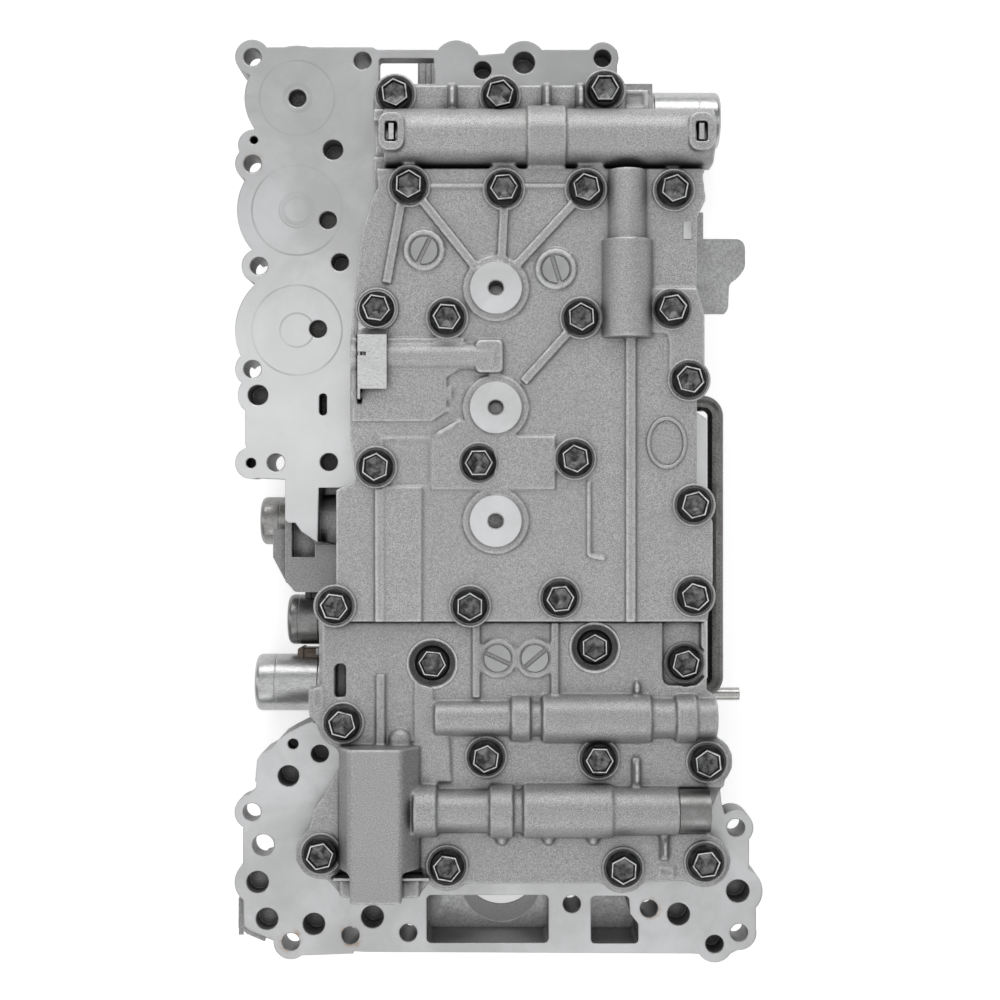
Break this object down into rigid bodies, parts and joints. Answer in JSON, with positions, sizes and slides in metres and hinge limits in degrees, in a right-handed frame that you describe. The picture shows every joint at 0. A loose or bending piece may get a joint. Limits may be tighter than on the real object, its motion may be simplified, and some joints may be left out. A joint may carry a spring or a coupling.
{
  "type": "transmission valve body",
  "caption": "Hydraulic valve body of an automatic transmission: stacked castings, separator sheets, bored valve bosses, accumulators and solenoids.",
  "frame": {"origin": "centre of the footprint, on the underside of the lower body", "axes": "+Z out of the face that bolts to the transmission case, +Y towards the end with the long cross bore"},
  "size_m": [0.2182, 0.3814, 0.079],
  "materials": {
    "machined_aluminium": "machined face, cast sides",
    "cast_aluminium": "as cast",
    "sheet_steel": "rolled",
    "dark_steel": "black oxide",
    "can_steel": "satin",
    "pipe_steel": "dark satin",
    "valve_aluminium": "ground",
    "spring_steel": "wire"
  },
  "bodies": {
    "housing": {"accumulator_cover": "cast_aluminium", "accumulator_cover_bolts": "dark_steel", "centre_accumulator_spring": "spring_steel", "control_cap": "valve_aluminium", "control_retainer": "sheet_steel", "control_spring": "spring_steel", "damper_spring": "spring_steel", "front_accumulator_spring": "spring_steel", "front_body_bolts": "dark_steel", "front_valve_body": "cast_aluminium", "line_pressure_solenoid": "can_steel", "lockup_solenoid": "can_steel", "lower_body": "cast_aluminium", "lower_body_bolts": "dark_steel", "lower_separator": "sheet_steel", "middle_body": "machined_aluminium", "modulator_plug": "valve_aluminium", "modulator_spring": "spring_steel", "oil_pipe": "pipe_steel", "primary_key": "sheet_steel", "primary_plug": "valve_aluminium", "primary_regulator_spring": "spring_steel", "rear_accumulator_spring": "spring_steel", "rear_body_bolts": "dark_steel", "rear_valve_body": "cast_aluminium", "relay_plug": "valve_aluminium", "relay_spring": "spring_steel", "retainer_bracket": "sheet_steel", "secondary_key": "sheet_steel", "secondary_plug": "valve_aluminium", "secondary_regulator_spring": "spring_steel", "sequence_plug": "can_steel", "sequence_spring": "spring_steel", "shift_key": "sheet_steel", "shift_plug": "valve_aluminium", "shift_solenoid": "can_steel", "shift_spring": "spring_steel", "side_pin": "can_steel", "throttle_pressure_solenoid": "can_steel", "upper_separator": "sheet_steel"},
    "primary_regulator_valve_body": {"primary_regulator_valve": "valve_aluminium"},
    "secondary_regulator_valve_body": {"secondary_regulator_valve": "valve_aluminium"},
    "damper_piston_body": {"damper_piston": "valve_aluminium"},
    "modulator_valve_body": {"modulator_valve": "valve_aluminium"},
    "relay_valve_body": {"relay_valve": "valve_aluminium"},
    "shift_valve_body": {"shift_valve": "valve_aluminium"},
    "sequence_valve_body": {"sequence_valve": "valve_aluminium"},
    "control_valve_body": {"control_valve": "valve_aluminium"},
    "front_accumulator_piston_body": {"front_accumulator_piston": "valve_aluminium"},
    "centre_accumulator_piston_body": {"centre_accumulator_piston": "valve_aluminium"},
    "rear_accumulator_piston_body": {"rear_accumulator_piston": "valve_aluminium"},
    "manual_valve_body": {"manual_valve": "valve_aluminium"}
  },
  "joints": [
    {"name": "primary_slide", "type": "slide", "parent": "housing", "child": "primary_regulator_valve_body", "axis": [-1, 0, 0], "range_m": [0, 0.006], "stiffness_N_per_m": 1000, "springref_m": -0.003, "deforming": ["primary_regulator_spring"]},
    {"name": "secondary_slide", "type": "slide", "parent": "housing", "child": "secondary_regulator_valve_body", "axis": [1, 0, 0], "range_m": [0, 0.006], "stiffness_N_per_m": 1000, "springref_m": -0.003, "deforming": ["secondary_regulator_spring"]},
    {"name": "damper_slide", "type": "slide", "parent": "housing", "child": "damper_piston_body", "axis": [0, -1, 0], "range_m": [0, 0.008], "stiffness_N_per_m": 600, "springref_m": -0.003, "deforming": ["damper_spring"]},
    {"name": "modulator_slide", "type": "slide", "parent": "housing", "child": "modulator_valve_body", "axis": [-1, 0, 0], "range_m": [0, 0.005], "stiffness_N_per_m": 800, "springref_m": -0.003, "deforming": ["modulator_spring"]},
    {"name": "relay_slide", "type": "slide", "parent": "housing", "child": "relay_valve_body", "axis": [-1, 0, 0], "range_m": [0, 0.004], "stiffness_N_per_m": 800, "springref_m": -0.003, "deforming": ["relay_spring"]},
    {"name": "shift_slide", "type": "slide", "parent": "housing", "child": "shift_valve_body", "axis": [1, 0, 0], "range_m": [0, 0.01], "stiffness_N_per_m": 600, "springref_m": -0.003, "deforming": ["shift_spring"]},
    {"name": "sequence_slide", "type": "slide", "parent": "housing", "child": "sequence_valve_body", "axis": [1, 0, 0], "range_m": [0, 0.01], "stiffness_N_per_m": 600, "springref_m": -0.003, "deforming": ["sequence_spring"]},
    {"name": "control_slide", "type": "slide", "parent": "housing", "child": "control_valve_body", "axis": [0, -1, 0], "range_m": [0, 0.006], "stiffness_N_per_m": 1000, "springref_m": -0.003, "deforming": ["control_spring"]},
    {"name": "front_accumulator_stroke", "type": "slide", "parent": "housing", "child": "front_accumulator_piston_body", "axis": [0, 0, -1], "range_m": [0, 0.006], "stiffness_N_per_m": 6000, "springref_m": -0.003, "deforming": ["front_accumulator_spring"]},
    {"name": "centre_accumulator_stroke", "type": "slide", "parent": "housing", "child": "centre_accumulator_piston_body", "axis": [0, 0, -1], "range_m": [0, 0.006], "stiffness_N_per_m": 6000, "springref_m": -0.003, "deforming": ["centre_accumulator_spring"]},
    {"name": "rear_accumulator_stroke", "type": "slide", "parent": "housing", "child": "rear_accumulator_piston_body", "axis": [0, 0, -1], "range_m": [0, 0.006], "stiffness_N_per_m": 6000, "springref_m": -0.003, "deforming": ["rear_accumulator_spring"]},
    {"name": "manual_slide", "type": "slide", "parent": "housing", "child": "manual_valve_body", "axis": [0, 1, 0], "range_m": [0, 0.02]}
  ]
}
